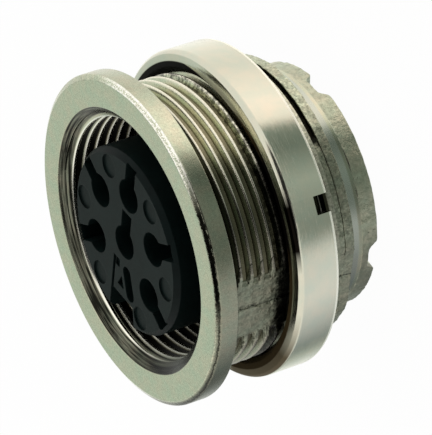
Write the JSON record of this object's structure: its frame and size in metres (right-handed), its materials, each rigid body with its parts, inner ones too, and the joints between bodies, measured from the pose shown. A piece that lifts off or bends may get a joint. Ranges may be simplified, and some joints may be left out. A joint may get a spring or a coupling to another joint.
{
  "type": "circular panel connector receptacle",
  "caption": "Flanged panel-mount circular connector receptacle: threaded metal shell with a slotted ring nut, black insert with keyway and female contacts.",
  "frame": {"origin": "centre of the shell's rear rim, on which the receptacle stands", "axes": "+Z along the connector's axis towards the mouth, where the mating plug leaves; the keyway is on the -Y side and the barrel's flats face +X and -X"},
  "size_m": [0.0208, 0.0208, 0.0131],
  "materials": {
    "plated_casting": "nickel-plated die casting, slightly rough",
    "plated_nut": "nickel-plated, fine turned lines",
    "insert_plastic": "black moulded plastic",
    "holder_plastic": "black moulded plastic",
    "spring_steel": "plain spring steel",
    "contact_metal": "gold-flashed brass"
  },
  "bodies": {
    "receptacle": {"shell": "plated_casting", "insert": "insert_plastic", "contact_holder": "holder_plastic", "retaining_ring": "spring_steel", "contact_1": "contact_metal", "contact_2": "contact_metal", "contact_3": "contact_metal", "contact_4": "contact_metal", "contact_5": "contact_metal", "contact_6": "contact_metal"},
    "nut": {"ring_nut": "plated_nut"}
  },
  "joints": [
    {"name": "nut_travel", "type": "slide", "parent": "receptacle", "child": "nut", "axis": [0, 0, 1], "range_m": [-0.00375, 0.00375]}
  ]
}
